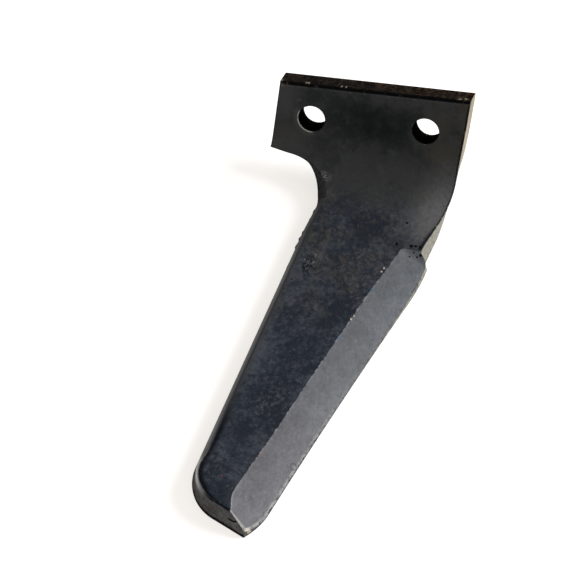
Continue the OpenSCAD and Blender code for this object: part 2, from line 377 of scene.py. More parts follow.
# bevel block: w is the distance left to the leading edge
w = mix((blockWidth - t["creaseStep"])[:, None], 0.0, fBevel[None, :])
w[:, 0] = blockWidth
cut = cutAt(w, blockWidth[:, None], bv[:, None], bv[:, None] + fromLead[:, 1:] * w)
edgeRound = t["edgeBreak"] * (1 - np.sqrt(np.maximum(0, 1 - clamp(1 - w / t["edgeBreak"]) ** 2)))
onPlate = 1 - ease((bv[:, None] - t["notch"]) / 3)
bz = t["thickness"] - np.maximum(cut, 0) - edgeRound * onPlate
slant = fromLead[:, None, :] * (w + leadWall(bv[:, None], bz))[:, :, None] \
    + shiftAtFront[:, None, :] * (bz / t["thickness"])[:, :, None]
gx = b[:, None, 0] + slant[:, :, 0]
gv = b[:, None, 1] + slant[:, :, 1]
landZ = bz[:, -1]
topX = np.concatenate([fx, gx[:, 1:]], 1)
topV = np.concatenate([fv, gv[:, 1:]], 1)
topZ = np.concatenate([np.full_like(fx, t["thickness"]), bz[:, 1:]], 1)

# what the steel needs to know on the front
farW = toCrease + blockWidth[:, None]
farCut = cutAt(farW, blockWidth[:, None], bv[:, None], bv[:, None] + fromLead[:, 1:] * farW)
topCut = np.concatenate([farCut, cut[:, 1:]], 1)
toLead = -np.concatenate([farW, w[:, 1:]], 1)
toTrail = -np.concatenate([faceWidth[:, None] - toCrease,
                           faceWidth[:, None] + blockWidth[:, None] - w[:, 1:]], 1)
fromEnd = -(bv[-1] - bv)[:, None] - 0 * topX
fromTop = -np.concatenate([[0], np.cumsum(np.linalg.norm(np.diff(a, axis=0), axis=1))])[:, None] - 0 * topX
columns = topX.shape[1]

# trailing wall: up the drafted wall, then round the quarter circle into the front face
h = np.linspace(0, 1, t["wallCells"] + 1)
straight = clamp(h / t["wallShare"])
quarter = clamp((h - t["wallShare"]) / (1 - t["wallShare"])) * math.pi / 2
wallTop = t["thickness"] - roundAt
wz = mix(base[:, None], wallTop[:, None], straight[None, :]) + roundAt[:, None] * np.sin(quarter)[None, :]
side = roundAt[:, None] * (1 - np.cos(quarter))[None, :]
sideWay = wayIn.copy()
sideWay[-1] = across[-1]
trailWX = a[:, :1] + wayIn[:, :1] * draft[:, None] * wz / t["thickness"] + sideWay[:, :1] * side
trailWV = a[:, 1:] + wayIn[:, 1:] * draft[:, None] * wz / t["thickness"] + sideWay[:, 1:] * side
trailWX[:, -1], trailWV[:, -1], wz[:, -1] = topX[:, 0], topV[:, 0], topZ[:, 0]
# torn flash along the foot of the wall, from the neck down past the notch
teeth = np.maximum(0, 0.25 + wavy(av * 13, av * 0 + 3) + 0.7 * wavy(av * 31, av * 0))
teeth = teeth * ease((av - 50) / 8) * (1 - ease((av - 86) / 14))
flash = (t["flashDepth"] * clamp(teeth))[:, None] * (1 - ease(h / 0.3))[None, :]
trailWX, trailWV = trailWX - wayIn[:, :1] * flash, trailWV - wayIn[:, 1:] * flash

# leading wall: from the edge of the bevel down to the back face
lz = mix(landZ[:, None], base[:, None], h[None, :])
leadSlant = fromLead[:, None, :] * leadWall(bv[:, None], lz)[:, :, None] \
    + shiftAtFront[:, None, :] * (lz / t["thickness"])[:, :, None]
leadWX = b[:, None, 0] + leadSlant[:, :, 0]
leadWV = b[:, None, 1] + leadSlant[:, :, 1]
leadWX[:, 0], leadWV[:, 0] = topX[:, -1], topV[:, -1]

# back face under the same columns
backStart = np.stack([trailWX[:, 0], trailWV[:, 0]], -1)
backEnd = np.stack([leadWX[:, -1], leadWV[:, -1]], -1)
share = np.cumsum(np.hypot(np.diff(topX, axis=1), np.diff(topV, axis=1)), axis=1)
share = np.concatenate([np.zeros((rows, 1)), share], 1) / share[:, -1:]
backX = mix(backStart[:, :1], backEnd[:, :1], share)
backV = mix(backStart[:, 1:], backEnd[:, 1:], share)
backZ = np.repeat(base[:, None], columns, 1)

# middles of the bolt holes, on the flat face
holes = [np.array([side * t["holePitch"] / 2 * math.cos(rad(t["shearAngle"])),
                   -side * t["holePitch"] / 2 * math.sin(rad(t["shearAngle"]))]) for side in (-1, 1)]


# 0 at the rims of the bolt holes, easing to 1 away from them
def settled(x, v):
    still = np.ones(x.shape)
    for centre in holes:
        still *= ease((np.hypot(x - centre[0], v - centre[1]) - 9) / 8)
    return still


# the front is uneven inside, and held at nothing along its edges and round the bolt holes
inside = ease(-toTrail / 6) * ease(np.minimum(-toLead, 40) / 6) * ease(-fromEnd / 8) * ease(-fromTop / 6)
topZ = topZ + t["unevenness"] * wavy(topX, topV) * inside * settled(topX, topV)
# the neck falls away a little towards its leading side
fall = t["neckFall"] * ease((18 + toLead) / 18) * ease((bv[:, None] + 6) / 26)
topZ = topZ - fall * (1 - ease((bv[:, None] - 56) / 14))
# a burr stands along the sheared top edge, broken here and there
burr = np.maximum(0, 0.35 + 0.5 * wavy(topX * 3.1, topV * 0 + 40))
topZ = topZ + (fromTop > -0.01) * t["burrHeight"] * clamp(burr)
leadWX[:, 0], leadWV[:, 0], lz[:, 0] = topX[:, -1], topV[:, -1], topZ[:, -1]
wz[:, -1] = topZ[:, 0]

top = gridOf(x=topX, v=topV, z=topZ, cut=topCut, lead=toLead, trail=toTrail, ends=fromEnd, top=fromTop)
back = gridOf(x=backX, v=backV, z=backZ, cut=-20, lead=30, trail=30, ends=fromEnd, top=fromTop)
leadGrid = gridOf(x=leadWX, v=leadWV, z=lz, cut=topCut[:, -1:], lead=landZ[:, None] * h[None, :], trail=-40,
                  ends=fromEnd[:, :1], top=fromTop[:, :1])
trailGrid = gridOf(x=trailWX, v=trailWV, z=wz, cut=-20, lead=-40, trail=t["thickness"] - wz,
                   ends=fromEnd[:, :1], top=fromTop[:, :1])


# fills a frame of four edges: the two ruled sheets added, less the sheet through the corners
def filled(low, high, left, right):
    f = np.linspace(0, 1, left.shape[0])[:, None]
    g = np.linspace(0, 1, low.shape[0])[None, :]
    corners = (1 - f) * ((1 - g) * low[0] + g * low[-1]) + f * ((1 - g) * high[0] + g * high[-1])
    return (1 - f) * low[None, :] + f * high[None, :] + (1 - g) * left[:, None] + g * right[:, None] - corners


# closes one end of the rows between its four edges; the known value of that end is the depth below the front
def cap(row, name):
    made = {q: filled(back[q][row], top[q][row], trailGrid[q][row], leadGrid[q][row][::-1]) for q in top}
    made[name] = np.maximum(t["thickness"] - made["z"], 0)
    return made


endCap, topCap = cap(-1, "ends"), cap(0, "top")
print("section sides worked out:", rows, "rows,", columns, "columns")

points, facts, quads, kinds = [], [], [], []


# adds a grid as quads, less the cells that a mask leaves out
def addGrid(grid, kind, flip=False, keep=None):
    n, m = grid["x"].shape
    start = sum(len(p) for p in points)
    points.append(np.stack([grid[q].ravel() for q in ("x", "v", "z")], -1))
    facts.append(np.stack([grid[q].ravel() for q in knownNames], -1))
    index = start + np.arange(n * m).reshape(n, m)
    cells = np.stack([index[:-1, :-1], index[:-1, 1:], index[1:, 1:], index[1:, :-1]], -1)
    cells = cells[keep] if keep is not None else cells.reshape(-1, 4)
    cells = cells[:, ::-1] if flip else cells
    quads.append(cells)
    kinds.append(np.full(len(cells), kind))


# a square of cells is left out round each bolt hole
keepCells = np.ones((rows - 1, columns - 1), bool)
squares = []
for centre in holes:
    near = (np.abs(topX - centre[0]) < t["holeSquare"]) & (np.abs(topV - centre[1]) < t["holeSquare"])
    near[:, t["frontCells"]:] = False
    r0, r1 = np.where(near.any(1))[0][[0, -1]]
    c0, c1 = np.where(near[(r0 + r1) // 2])[0][[0, -1]]
    keepCells[r0:r1, c0:c1] = False
    squares.append((centre, r0, r1, c0, c1))

# the finishes, in the order in which their materials are made below
skin, leadSide, darkEnd, shear, bore = range(5)
addGrid(top, skin, flip=True, keep=keepCells)
addGrid(back, skin, keep=keepCells)
addGrid(leadGrid, leadSide, flip=True)
addGrid(trailGrid, darkEnd, flip=True)
addGrid(endCap, darkEnd)
addGrid(topCap, shear, flip=True)


# the values round the border of a square of cells, once round
def borderOf(q, r0, r1, c0, c1):
    return np.concatenate([q[r0, c0:c1], q[r0:r1, c1], q[r1, c1:c0:-1], q[r1:r0:-1, c0]])


# rings of cells from the square to the hole: each point slides along a ray from the hole's middle, and the
# last rings turn over the rim as a quarter circle, down (turned 1) or up (turned -1)
def holeFace(grid, centre, r0, r1, c0, c1, rimZ, turned, radius):
    outer = {q: borderOf(grid[q], r0, r1, c0, c1) for q in grid}
    dx, dv = outer["x"] - centre[0], outer["v"] - centre[1]
    reach = np.hypot(dx, dv)
    rim = t["holeRim"]
    f = np.linspace(0, 1, t["ringCells"] + 1)[:, None] ** 0.85
    away = mix(reach[None, :], radius + rim, f)
    z = mix(outer["z"][None, :], rimZ, ease(f))
    turn = np.linspace(0, math.pi / 2, 5)[1:, None]
    away = np.concatenate([away, np.repeat(radius + rim * (1 - np.sin(turn)), len(reach), 1)])
    z = np.concatenate([z, np.repeat(rimZ - turned * rim * (1 - np.cos(turn)), len(reach), 1)])
    made = {q: np.repeat(outer[q][None, :], len(z), 0) for q in knownNames}
    made.update(x=centre[0] + dx / reach * away, v=centre[1] + dv / reach * away, z=z)
    return {q: np.concatenate([value, value[:, :1]], 1) for q, value in made.items()}


for centre, r0, r1, c0, c1 in squares:
    front = holeFace(top, centre, r0, r1, c0, c1, t["thickness"], 1, t["holeRadius"])
    rear = holeFace(back, centre, r0, r1, c0, c1, 0.0, -1, t["holeRadius"] + t["rearSpread"])
    addGrid(front, skin, flip=True)
    addGrid(rear, skin)
    f = np.linspace(0, 1, 13)[:, None]
    wall = {q: mix(front[q][-1][None, :], rear[q][-1][None, :], f) for q in front}
    addGrid(wall, bore, flip=True)

allPoints = np.concatenate(points)
allFacts = np.concatenate(facts)
allQuads = np.concatenate(quads)
allKinds = np.concatenate(kinds)

# one point where grids meet, and none that no cell uses
rounded = np.round(allPoints * 2000).astype(np.int64)
first, where = np.unique(rounded, axis=0, return_index=True, return_inverse=True)[1:]
used, allQuads = np.unique(where.ravel()[allQuads], return_inverse=True)
allQuads = allQuads.reshape(-1, 4)
xvz = allPoints[first[used]]
factsAt = allFacts[first[used]]
placed = bent(xvz[:, 0], xvz[:, 1], xvz[:, 2])


# builds the mesh from whole arrays: square cells, and three-cornered ones where two corners have met
def buildMesh(name, verts, cells, cellKinds):
    following = np.roll(cells, -1, axis=1)
    distinct = cells != following
    count = distinct.sum(1)
    good = count >= 3
    cells, distinct, count, cellKinds = cells[good], distinct[good], count[good], cellKinds[good]
    mesh = bpy.data.meshes.new(name)
    mesh.vertices.add(len(verts))
    mesh.vertices.foreach_set("co", verts.astype(np.float32).ravel())
    loops = cells[distinct]
    mesh.loops.add(len(loops))
    mesh.loops.foreach_set("vertex_index", loops.astype(np.int32))
    mesh.polygons.add(len(cells))
    starts = np.concatenate([[0], np.cumsum(count)[:-1]]).astype(np.int32)
    mesh.polygons.foreach_set("loop_start", starts)
    mesh.polygons.foreach_set("material_index", cellKinds.astype(np.int32))
    mesh.update(calc_edges=True)
    mesh.validate()
    return mesh


mesh = buildMesh("tine_blade", placed, allQuads, allKinds)
print("mesh built:", len(mesh.vertices), "points,", len(mesh.polygons), "cells")

# each point keeps its flat place and the known values, for the steel
layer = mesh.attributes.new("place", "FLOAT_VECTOR", "POINT")
layer.data.foreach_set("vector", xvz.astype(np.float32).ravel())
for i, name in enumerate(knownNames):
    layer = mesh.attributes.new(name, "FLOAT", "POINT")
    layer.data.foreach_set("value", factsAt[:, i].astype(np.float32))
mesh.polygons.foreach_set("use_smooth", np.ones(len(mesh.polygons), bool))
mesh.set_sharp_from_angle(angle=rad(26))

blade = bpy.data.objects.new("tine_blade", mesh)
scene.collection.objects.link(blade)

# the shell's volume, signed: the sum over triangles of a . (b x c) / 6
mesh.calc_loop_triangles()
corners = np.zeros(len(mesh.loop_triangles) * 3, np.int32)
mesh.loop_triangles.foreach_get("vertices", corners)
triangles = placed[corners.reshape(-1, 3)]
volume = np.sum(triangles[:, 0] * np.cross(triangles[:, 1], triangles[:, 2])) / 6
print("volume mm3", round(volume * 1e9, 1), "triangles", len(triangles))

# steel: each surface is coloured from its place on the flat outline, in millimetres
tree = None

# the noises that most finishes share: scale per millimetre, detail and roughness
steelNoises = {
    "broad": (0.035, 3.0, 0.6),
    "middle": (0.11, 5.0, 0.62),
    "close": (0.42, 6.0, 0.68),
    "grain": (1.6, 4.0, 0.7),
}


# adds a shader node to the current tree; each value is set on its socket or wired into it
def node(kind, values, out=0, **settings):
    made = tree.nodes.new("ShaderNode" + kind)
    for name, value in settings.items():
        setattr(made, name, value)
    for key, value in values.items():
        if isinstance(value, bpy.types.NodeSocket):
            tree.links.new(value, made.inputs[key])
        else:
            made.inputs[key].default_value = value
    return made.outputs[out]


# one step of arithmetic on two values
def maths(way, a, b=0.0):
    return node("Math", {0: a, 1: b}, operation=way)


# works the parts together one after another
def chained(way, parts):
    total = parts[0]
    for part in parts[1:]:
        total = maths(way, total, part)
    return total


def times(*parts):
    return chained("MULTIPLY", parts)


def plus(*parts):
    return chained("ADD", parts)


def most(*masks):
    return chained("MAXIMUM", masks)


def less(value):
    return maths("SUBTRACT", 1.0, value)


# a noise about nothing, as high as the amount
def swing(value, amount):
    return times(maths("SUBTRACT", value, 0.5), amount)


# eases from start to end while the value goes from low to high
def span(value, low, high, start=0.0, end=1.0):
    if low > high:
        low, high, start, end = high, low, end, start
    return node("MapRange", {0: value, 1: low, 2: high, 3: start, 4: end}, interpolation_type="SMOOTHSTEP")


# a band: 1 where the value is less than narrow away from middle, 0 where it is more than wide away
def band(value, middle, wide, narrow):
    return span(maths("ABSOLUTE", maths("SUBTRACT", value, middle)), wide, narrow)


# colour a where f is 0 and colour b where it is 1
def blend(f, a, b):
    full = lambda c: c if isinstance(c, bpy.types.NodeSocket) else (*c, 1.0)
    return node("Mix", {0: f, 6: full(a), 7: full(b)}, out=2, data_type="RGBA")


def noise(where, scale, detail=4.0, rough=0.6):
    return node("TexNoise", {"Vector": where, "Scale": scale, "Detail": detail, "Roughness": rough})


def known(name, out=2):
    return node("Attribute", {}, out=out, attribute_name=name)


# a place turned in the plane of the face by an angle, then drawn out by a factor for each way
def drawn(where, angle, *factors):
    turned = node("VectorRotate", {"Vector": where, "Angle": rad(angle)}, rotation_type="Z_AXIS")
    return node("VectorMath", {0: turned, 1: factors}, operation="MULTIPLY")


# a spot: 1 in the middle, fading out at the radii rx along x, rv along v and, where it is given, rz along z
def spot(where, x, v, rx, rv, soft=0.5, z=0.0, rz=0.0):
    off = node("VectorMath", {0: where, 1: (x, v, z)}, operation="SUBTRACT")
    off = node("VectorMath", {0: off, 1: (1 / rx, 1 / rv, 1 / rz if rz else 0)}, operation="MULTIPLY")
    return span(node("VectorMath", {0: off}, out=1, operation="LENGTH"), 1.0, 1.0 - soft)


# several spots, each given as (x, v, rx, rv) and what else it needs
def spots(where, *rows):
    return most(*(spot(where, *row) for row in rows))


# the way from a point of the face, whatever the height, and how far that is
def awayFrom(where, x, v):
    off = node("VectorMath", {0: where, 1: (x, v, 0)}, operation="SUBTRACT")
    off = node("VectorMath", {0: off, 1: (1, 1, 0)}, operation="MULTIPLY")
    return off, node("VectorMath", {0: off}, out=1, operation="LENGTH")


# starts a material: its shader, the place on the face with its parts, the noises and the known values
def startSteel(name, noises, facts=()):
    global tree
    material = bpy.data.materials.new(name)
    material.use_nodes = True
    tree = material.node_tree
    mesh.materials.append(material)
    place = known("place", out=1)
    split = tree.nodes.new("ShaderNodeSeparateXYZ")
    tree.links.new(place, split.inputs[0])
    values = {size: noise(place, *steelNoises[size]) for size in noises}
    values.update({fact: known(fact) for fact in facts})
    x, v, z = split.outputs
    return SimpleNamespace(shader=tree.nodes["Principled BSDF"], place=place, x=x, v=v, z=z, **values)


# joins colour, roughness and relief to the shader; heights are in millimetres
def finishSteel(shader, colour, rough, relief, specular):
    tree.links.new(colour, shader.inputs["Base Color"])
    tree.links.new(rough, shader.inputs["Roughness"])
    if isinstance(specular, bpy.types.NodeSocket):
        tree.links.new(specular, shader.inputs["Specular IOR Level"])
    else:
        shader.inputs["Specular IOR Level"].default_value = specular
    bump = node("Bump", {"Height": relief, "Distance": 0.001, "Strength": 1.0})
    tree.links.new(bump, shader.inputs["Normal"])


# skin of the plate: neutral black, browner at the leading hole and paler below the trailing one
def plateSkin(on):
    place, x, v = on.place, on.x, on.v
    mottle = plus(times(on.broad, 0.45), times(on.middle, 0.35), times(on.close, 0.2))
    plate = blend(span(mottle, 0.43, 0.58), (0.004, 0.0046, 0.0052), (0.025, 0.0255, 0.025))
    paler = spots(place, (-48, 24, 30, 22, 0.9), (-52, -8, 14, 26, 0.9), (25, 24, 20, 18, 0.9),
                  (12, 47, 24, 18, 0.9))
    paler = most(paler, times(span(v, 2, 40), 0.55))
    plate = blend(times(paler, 0.75), plate, (0.040, 0.0405, 0.039))
    browner = most(span(x, 28, 50), spot(place, -50, 22, 16, 14, 0.9))
    brown = times(span(noise(place, 0.05, 4.0), 0.44, 0.6), browner)
    plate = blend(times(brown, 0.6), plate, (0.034, 0.028, 0.017))
    plate = blend(times(on.darkMiddle, 0.62), plate, (0.0035, 0.0045, 0.0048))
    smoke = span(noise(drawn(place, 30, 1.0, 0.6, 1.0), 0.09, 5.0, 0.7), 0.52, 0.68)
    return blend(times(smoke, span(v, -14, 26, 0.25, 0.8)), plate, (0.042, 0.0435, 0.045))


# skin of the blade: blue black, mottled in patches, with brown grey flecks in the neck and along the
# trailing side
def bladeSkin(on):
    place, v, close = on.place, on.v, on.close
    swirl = noise(drawn(place, 25, 1.0, 1.6, 1.0), 0.13, 6.0, 0.7)
    cloud = noise(drawn(place, -35, 1.0, 0.6, 1.0), 0.055, 4.0, 0.65)
    patch = plus(times(cloud, 0.32), times(swirl, 0.34), times(close, 0.34))
    lighter = spots(place, (-25, 160, 12, 70, 0.95), (-8, 216, 9, 14, 0.9), (-15, 240, 10, 10, 0.9),
                    (-8, 96, 16, 16, 0.9))
    darker = spots(place, (10, 118, 13, 36, 0.9), (-6, 182, 12, 26, 0.9), (16, 64, 22, 16, 0.9),
                   (-21, 212, 11, 14, 0.9), (-16, 254, 10, 10, 0.9))
    darkest = spots(place, (18, 84, 15, 12, 0.9), (-20, 214, 12, 13, 0.9))
    shade = plus(patch, times(lighter, 0.035), times(darker, -0.045), times(darkest, -0.05))
    steel = blend(span(shade, 0.43, 0.58), (0.003, 0.0058, 0.0112), (0.026, 0.030, 0.039))
    dusty = span(plus(shade, times(close, 0.3), times(on.grain, 0.12)), 0.73, 0.86)
    steel = blend(times(dusty, 0.5), steel, (0.056, 0.060, 0.067))
    smudge = span(noise(drawn(place, -20, 0.5, 2.2, 1.0), 0.10, 4.0, 0.7), 0.55, 0.66)
    steel = blend(times(smudge, 0.65), steel, (0.003, 0.0055, 0.011))
    flecks = span(noise(drawn(place, 40, 1.0, 0.6, 1.0), 0.42, 8.0, 0.78), 0.48, 0.60)
    flecks = times(flecks, span(cloud, 0.36, 0.56, 0.25, 1.0), span(v, 138, 84, 0.15, 0.6))
    steel = blend(flecks, steel, (0.056, 0.052, 0.045))
    scrape = span(noise(drawn(place, 62, 0.16, 1.4, 1.0), 0.8, 4.0, 0.65), 0.60, 0.70)
    scrape = times(scrape, span(noise(place, 0.06, 2.0), 0.44, 0.56))
    steel = blend(times(scrape, 0.55), steel, (0.062, 0.064, 0.068))
    nearTrail = times(span(plus(on.trail, times(close, 5)), -1.5, 2.0), span(v, 60, 92), span(v, 245, 200))
    steel = blend(times(nearTrail, 0.7), steel, (0.030, 0.029, 0.028))
    # browner in patches about the neck, bluer below
    warm = times(span(noise(place, 0.05, 3.0), 0.43, 0.57), span(v, 150, 100), span(on.x, 34, 6, 0.25, 1.0))
    tint = blend(warm, (0.95, 1.0, 1.08), (1.09, 1.0, 0.87))
    return node("VectorMath", {0: steel, 1: tint}, operation="MULTIPLY")


# a painted sheen of light on the neck, then marks of handling: fine strokes in three directions, specks and
# scuffed patches
def sheenAndHandling(on, colour):
    place, v, close = on.place, on.v, on.close
    # painted sheen: the neck is painted greyer towards its leading side, as light catching its curve
    sheen = times(span(on.x, 28, 54), span(v, 2, 34), span(v, 78, 56), span(close, 0.3, 0.6, 0.65, 1.0))
    colour = blend(times(sheen, 0.95), colour, (0.095, 0.094, 0.094))
    on.strokes = most(*(times(span(noise(drawn(place, angle, 0.10, 1.5, 1.0), 1.0, 3.0, 0.6), 0.665, 0.74),
                              span(noise(place, 0.07 + 0.01 * k, 2.0), 0.46, 0.58))
                        for k, angle in enumerate((18, -52, 78))))
    colour = blend(times(on.strokes, 0.36), colour, (0.10, 0.102, 0.108))
    specks = span(noise(place, 1.1, 2.0), 0.665, 0.72)
    specks = times(specks, span(v, 30, 60, 0.25, 1.0), span(on.middle, 0.42, 0.56))
    colour = blend(times(specks, 0.55), colour, (0.17, 0.165, 0.16))
    freckles = times(span(noise(place, 0.8, 3.0, 0.7), 0.36, 0.30), 0.7)
    colour = blend(freckles, colour, (0.004, 0.004, 0.005))
    scuffed = spots(place, (-30, 236, 9, 16, 0.9), (14, 84, 12, 10, 0.9), (22, 112, 10, 20, 0.9),
                    (-8, 190, 14, 14, 0.9))
    scuffed = times(scuffed, span(close, 0.50, 0.62))
    return blend(times(scuffed, 0.45), colour, (0.075, 0.08, 0.088))


# the ground bevel: bare grey, cooler above, with faint lines along it and a paler rim at its edge
def bareBevel(on):
    place, v, close, grain, lead = on.place, on.v, on.close, on.grain, on.lead
    lines = noise(drawn(place, 15, 1.0, 0.09, 1.0), 0.9, 4.0, 0.6)
    bare = blend(span(v, 90, 235), (0.104, 0.111, 0.122), (0.128, 0.127, 0.138))
    tone = plus(-0.40, times(on.middle, 0.85), times(close, 0.90), times(lines, 0.42), times(grain, 0.62))
    # painted shade: the tone is lowered just below the step at the notch
    tone = times(tone, span(lead, -15, -2, 0.82, 1.06), less(times(spot(place, 49, 79, 11, 9, 0.9), 0.24)))
    bare = node("VectorMath", {0: bare, "Scale": tone}, operation="SCALE")
    bare = blend(times(span(close, 0.60, 0.72), 0.30), bare, (0.24, 0.235, 0.23))
    bare = blend(times(span(close, 0.38, 0.30), 0.45), bare, (0.07, 0.071, 0.075))
    rim = times(span(lead, -2.2, -1.2), span(lead, -0.1, -0.7), span(v, 150, 225, 0.10, 1.0))
    rim = times(rim, span(close, 0.36, 0.56), span(v, 200, 250, 0.7, 1.0))
    bare = blend(rim, bare, (0.31, 0.30, 0.29))
    # bites in the edge show dark; the rim of the end is bright
    bitten = times(span(lead, -1.3, -0.3), span(noise(place, 0.45, 3.0), 0.52, 0.58))
    bitten = times(bitten, span(v, 175, 210, 0.55, 1.0))
    bare = blend(times(bitten, 0.9), bare, (0.012, 0.010, 0.008))
    endRim = times(span(on.ends, -2.6, -1.2), span(grain, 0.32, 0.55), span(close, 0.34, 0.5))
    bare = blend(times(endRim, 0.85), bare, (0.36, 0.35, 0.33))
    ledge = times(span(v, 82, 74), span(on.x, 34, 40))
    return blend(times(ledge, 0.16), bare, (0.20, 0.205, 0.21))


# the crease is rubbed bright in places; two chips show bare metal, and two flecks are blue
def creaseWear(on, colour):
    place, v, close = on.place, on.v, on.close
    rub = times(band(on.ragged, 0.2, 0.32, 0.05), span(close, 0.44, 0.62), span(v, 72, 92))
    curl = times(band(on.ragged, 0.25, 0.5, 0.1), span(v, 236, 250), span(on.grain, 0.3, 0.6))
    colour = blend(times(most(rub, curl), 0.40), colour, (0.33, 0.33, 0.33))
    on.chips = spots(place, (31.2, 88.6, 0.75, 0.9), (30.3, 91.2, 0.9, 0.8), (22.7, 123.4, 0.7, 0.8),
                     (21.6, 126.0, 0.9, 0.7))
    chipped = times(span(plus(on.chips, on.torn), 0.45, 0.75), span(on.chips, 0.0, 0.25))
    colour = blend(times(chipped, 0.9), colour, (0.46, 0.38, 0.32))
    blueFleck = spots(place, (27.6, 104.0, 0.6, 1.3), (18.2, 139.5, 0.6, 1.9))
    return blend(times(blueFleck, 0.75), colour, (0.02, 0.07, 0.20))


# pits near the notch, a pitted patch by the trailing side with painted glints of light about it and on the
# neck arc, specks of red, and bare metal where the tip is broken off at the end of the bevel
def pitted(on, colour):
    place, v, grain = on.place, on.v, on.grain
    pits = spots(place, (35.9, 55.8, 0.9, 1.0), (34.0, 71.0, 0.9, 1.2), (42.7, 70.2, 1.5, 1.1),
                 (45.2, 69.6, 1.2, 1.0), (48.6, 69.6, 2.0, 1.8), (47.5, 74.8, 0.7, 0.7),
                 (43.2, 76.0, 0.7, 0.6), (49.3, 73.6, 1.1, 0.8), (45.0, 73.2, 0.6, 0.5))
    pits = times(span(plus(pits, on.torn), 0.25, 0.55), span(pits, 0.0, 0.25))
    patch = times(spot(place, -13.5, 98, 5.5, 9.0, 0.7),
                  span(noise(place, 0.42, 3.0, 0.75), 0.51, 0.47), 0.75)
    edgePits = times(span(noise(place, 0.33, 3.0), 0.37, 0.33), span(on.trail, -9, -2), span(v, 60, 72))
    edgePits = times(edgePits, span(v, 132, 105), 0.8)
    on.holesIn = most(pits, patch, edgePits)
    colour = blend(times(on.holesIn, 0.95), colour, (0.0015, 0.0015, 0.002))
    # painted glints: pale specks standing in for light caught about the pitted patch and on the neck arc
    paintedGlints = times(spot(place, -13.0, 96, 7.5, 10, 0.6), span(noise(place, 0.6, 2.0), 0.60, 0.68))
    paintedNeckGlints = span(noise(drawn(place, 20, 0.6, 1.6, 1.0), 0.8, 4.0, 0.7), 0.46, 0.58)
    paintedGlints = most(paintedGlints, times(spot(place, -21.0, 38.6, 6.5, 5.0, 0.8), paintedNeckGlints))
    colour = blend(times(paintedGlints, 0.7), colour, (0.20, 0.20, 0.19))
    red = spots(place, (-22.1, 242.4, 0.5, 0.55), (-10.3, 48.6, 0.45, 0.45), (-4.6, 223.1, 0.9, 0.6))
    colour = blend(times(red, span(grain, 0.3, 0.5), 0.7), colour, (0.27, 0.055, 0.03))
    broken = times(spot(place, 0.3, 266.8, 1.7, 1.7, 0.5), span(on.z, 7.0, 5.5), span(grain, 0.28, 0.48))
    return blend(times(broken, 0.9), colour, (0.56, 0.52, 0.44))


# a ring struck into the bevel, and an arc with a dent struck beside the trailing hole
def struck(on, colour):
    place, x, v = on.place, on.x, on.v
    away = awayFrom(place, 13.8, 221)[1]
    on.ring = times(band(away, 1.7, 0.75, 0.1), on.bevel)
    colour = blend(times(on.ring, 0.5), colour, (0.050, 0.050, 0.053))
    colour = blend(times(span(away, 1.2, 0.3), 0.4), colour, (0.20, 0.20, 0.20))
    away = awayFrom(place, -42.9, -3.4)[1]
    arc = times(band(away, 2.6, 0.7, 0.1), span(v, -4.4, -5.4), span(x, -41.5, -43.5))
    colour = blend(times(arc, 0.35), colour, (0.09, 0.092, 0.088))
    on.dent = times(span(away, 2.2, 1.0), span(v, -3.2, -4.6))
    return blend(times(on.dent, 0.8), colour, (0.003, 0.003, 0.003))


# rims of the bolt holes, the trailing one first: it is worn bright below, and both carry painted shade above,
# where the rim turns down into the hole
def holeRims(on, colour):
    for centre, bright, darkTo, haze in zip(holes, (1.0, 0.12), (-0.1, 0.9), (0.35, 0.1)):
        off, away = awayFrom(on.place, centre[0], centre[1])
        side = node("VectorMath", {0: off, 1: (-0.10, 0.08, 0)}, out=1, operation="DOT_PRODUCT")
        worn = times(span(away, 9.1, 8.7), span(away, 8.2, 8.4), span(side, 0.35, 0.75))
        worn = times(worn, span(on.close, 0.30, 0.46), bright)
        colour = blend(worn, colour, (0.60, 0.57, 0.49))
        # painted shade along the rim at the hole's edge
        dark = times(span(away, 9.3, 8.6), span(side, 0.35, darkTo))
        colour = blend(times(dark, 0.9), colour, (0.003, 0.003, 0.003))
        halo = times(span(away, 12.2, 9.8), span(side, 0.1, 0.7), haze)
        colour = blend(halo, colour, (0.07, 0.074, 0.076))
    return colour


# the edges of the skin: a broken black line along the sheared top with a thin paler one below it, painted
# shade where the blade turns down to the end wall, and a dark line down the leading edge, widened by painted
# shade at the notch
def skinEdges(on, colour):
    place, v, close, trail = on.place, on.v, on.close, on.trail
    below = plus(on.top, swing(close, 1.1))
    brokenLine = span(noise(drawn(place, 7.5, 0.25, 0.01, 0.01), 1.0, 4.0), 0.34, 0.42, 0.35, 1.0)
    on.line = times(span(below, -2.1, -1.4), brokenLine)
    under = times(span(below, -3.2, -2.2), span(below, -1.0, -1.6), span(close, 0.38, 0.60))
    under = times(under, span(on.x, 52, 20, 0.3, 1.0), 0.3)
    colour = blend(under, colour, (0.085, 0.088, 0.085))
    colour = blend(on.line, colour, (0.002, 0.002, 0.002))
    corner = times(spot(place, -55.5, -13.2, 2.6, 2.2, 0.8), span(on.grain, 0.35, 0.55))
    colour = blend(times(corner, 0.55), colour, (0.16, 0.12, 0.075))

    # painted shade where the face turns down to the end wall and along the trailing edge near the tip
    endShade = times(span(most(on.ends, trail), -4.0, -0.8), span(v, 228, 244), less(on.bevel))
    trailShade = times(span(plus(trail, times(close, 1.5)), -4.2, -0.2), span(v, 178, 216))
    on.endShade = most(endShade, trailShade)
    colour = blend(times(on.endShade, 0.8), colour, (0.002, 0.0025, 0.004))

    on.leadLine = times(span(plus(on.lead, swing(close, 2.4)), -1.5, -0.6),
                        span(noise(place, 0.25, 3.0), 0.36, 0.46), span(v, 71, 66))
    colour = blend(times(on.leadLine, 0.85), colour, (0.003, 0.003, 0.003))
    # painted shade where the front face rolls down into the bevel at the notch
    on.flare = times(span(on.lead, -3.2, -0.4), span(v, 50, 62), span(v, 73, 70))
    return blend(times(on.flare, 0.75), colour, (0.006, 0.007, 0.009))


